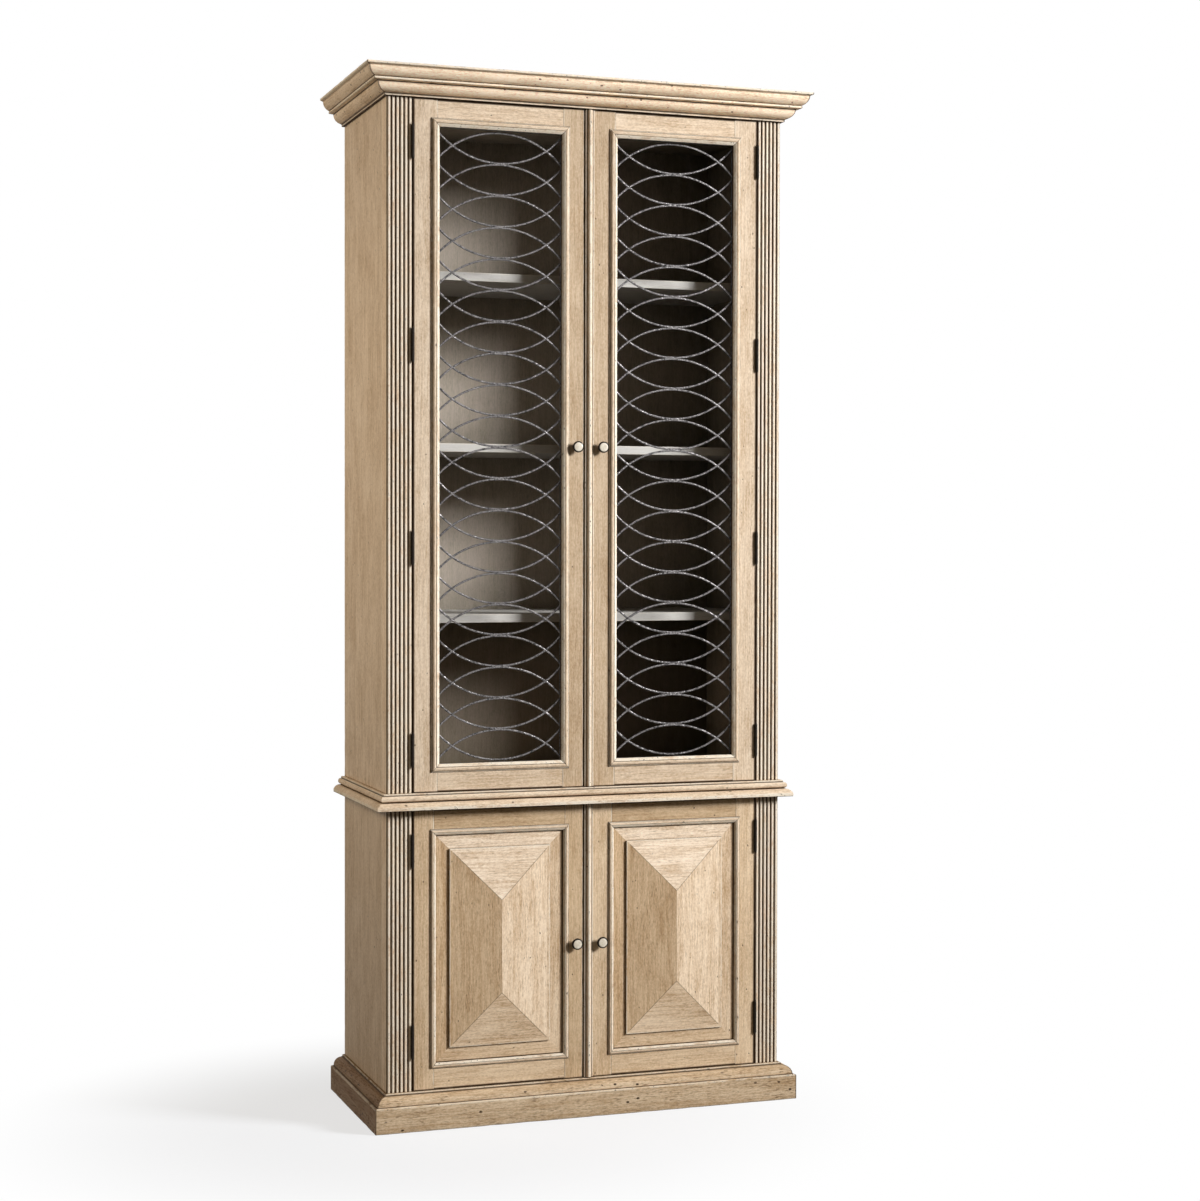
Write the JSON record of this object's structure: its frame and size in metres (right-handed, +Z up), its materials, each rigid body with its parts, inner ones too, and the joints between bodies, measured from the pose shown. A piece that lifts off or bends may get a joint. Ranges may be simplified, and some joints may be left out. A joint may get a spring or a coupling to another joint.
{
  "type": "display cabinet",
  "caption": "Tall two-part wooden display cabinet with a cornice, reeded corner posts, interlaced-arc grille doors above and raised-panel doors below.",
  "frame": {"origin": "middle of the footprint at floor level", "axes": "+Z up, +X to the right of someone who faces the doors, -Y out of the front"},
  "size_m": [1.102, 0.486, 2.438],
  "materials": {
    "case_wood": "washed pale wood, brown glaze in the grain, satin wax",
    "moulding_wood": "washed pale wood, brown glaze in the quirks, satin wax",
    "panel_wood": "washed pale wood, satin wax",
    "inside_wood": "dark taupe paint, dull",
    "shelf_paint": "ivory paint, dull",
    "grille_metal": "hammered pewter grey",
    "knob_metal": "dark bronze patina, pale inlay in the face",
    "hinge_metal": "dark bronze patina",
    "screw_steel": "plain steel",
    "dark_plastic": "black, dull"
  },
  "bodies": {
    "case": {"plinth_front": "moulding_wood", "plinth_left": "moulding_wood", "plinth_right": "moulding_wood", "plinth_back": "inside_wood", "levelling_feet": "dark_plastic", "base_floor": "inside_wood", "base_left_side": "case_wood", "base_right_side": "case_wood", "base_back": "inside_wood", "base_posts": "case_wood", "base_shelf": "inside_wood", "base_top": "moulding_wood", "hutch_base": "moulding_wood", "hutch_left_side": "case_wood", "hutch_right_side": "case_wood", "hutch_back": "inside_wood", "hutch_posts": "case_wood", "hutch_roof": "inside_wood", "display_shelves": "shelf_paint", "shelf_pins": "screw_steel", "cornice_front": "moulding_wood", "cornice_left": "moulding_wood", "cornice_right": "moulding_wood", "door_catches": "dark_plastic", "case_hinge_leaves": "hinge_metal", "hinge_pins": "hinge_metal", "case_hinge_screws": "screw_steel", "joining_screws": "screw_steel"},
    "upper_left_door": {"upper_left_door_stiles": "case_wood", "upper_left_door_rails": "case_wood", "upper_left_door_moulding": "moulding_wood", "upper_left_door_knob": "knob_metal", "upper_left_door_hinge_leaves": "hinge_metal", "upper_left_door_fasteners": "screw_steel", "upper_left_door_grille": "grille_metal", "upper_left_door_retainers": "case_wood"},
    "upper_right_door": {"upper_right_door_stiles": "case_wood", "upper_right_door_rails": "case_wood", "upper_right_door_moulding": "moulding_wood", "upper_right_door_knob": "knob_metal", "upper_right_door_hinge_leaves": "hinge_metal", "upper_right_door_fasteners": "screw_steel", "upper_right_door_grille": "grille_metal", "upper_right_door_retainers": "case_wood", "upper_right_door_seam_strip": "moulding_wood"},
    "lower_left_door": {"lower_left_door_stiles": "case_wood", "lower_left_door_rails": "case_wood", "lower_left_door_moulding": "moulding_wood", "lower_left_door_knob": "knob_metal", "lower_left_door_hinge_leaves": "hinge_metal", "lower_left_door_fasteners": "screw_steel", "lower_left_door_panel": "panel_wood"},
    "lower_right_door": {"lower_right_door_stiles": "case_wood", "lower_right_door_rails": "case_wood", "lower_right_door_moulding": "moulding_wood", "lower_right_door_knob": "knob_metal", "lower_right_door_hinge_leaves": "hinge_metal", "lower_right_door_fasteners": "screw_steel", "lower_right_door_panel": "panel_wood", "lower_right_door_seam_strip": "moulding_wood"}
  },
  "joints": [
    {"name": "upper_left_door_hinge", "type": "hinge", "parent": "case", "child": "upper_left_door", "pos_m": [-0.429, -0.1862, 1.5735], "axis": [0, 0, -1], "range_deg": [0, 110]},
    {"name": "upper_right_door_hinge", "type": "hinge", "parent": "case", "child": "upper_right_door", "pos_m": [0.429, -0.1862, 1.5735], "axis": [0, 0, 1], "range_deg": [0, 110]},
    {"name": "lower_left_door_hinge", "type": "hinge", "parent": "case", "child": "lower_left_door", "pos_m": [-0.429, -0.1862, 0.411], "axis": [0, 0, -1], "range_deg": [0, 110]},
    {"name": "lower_right_door_hinge", "type": "hinge", "parent": "case", "child": "lower_right_door", "pos_m": [0.429, -0.1862, 0.411], "axis": [0, 0, 1], "range_deg": [0, 110]}
  ]
}
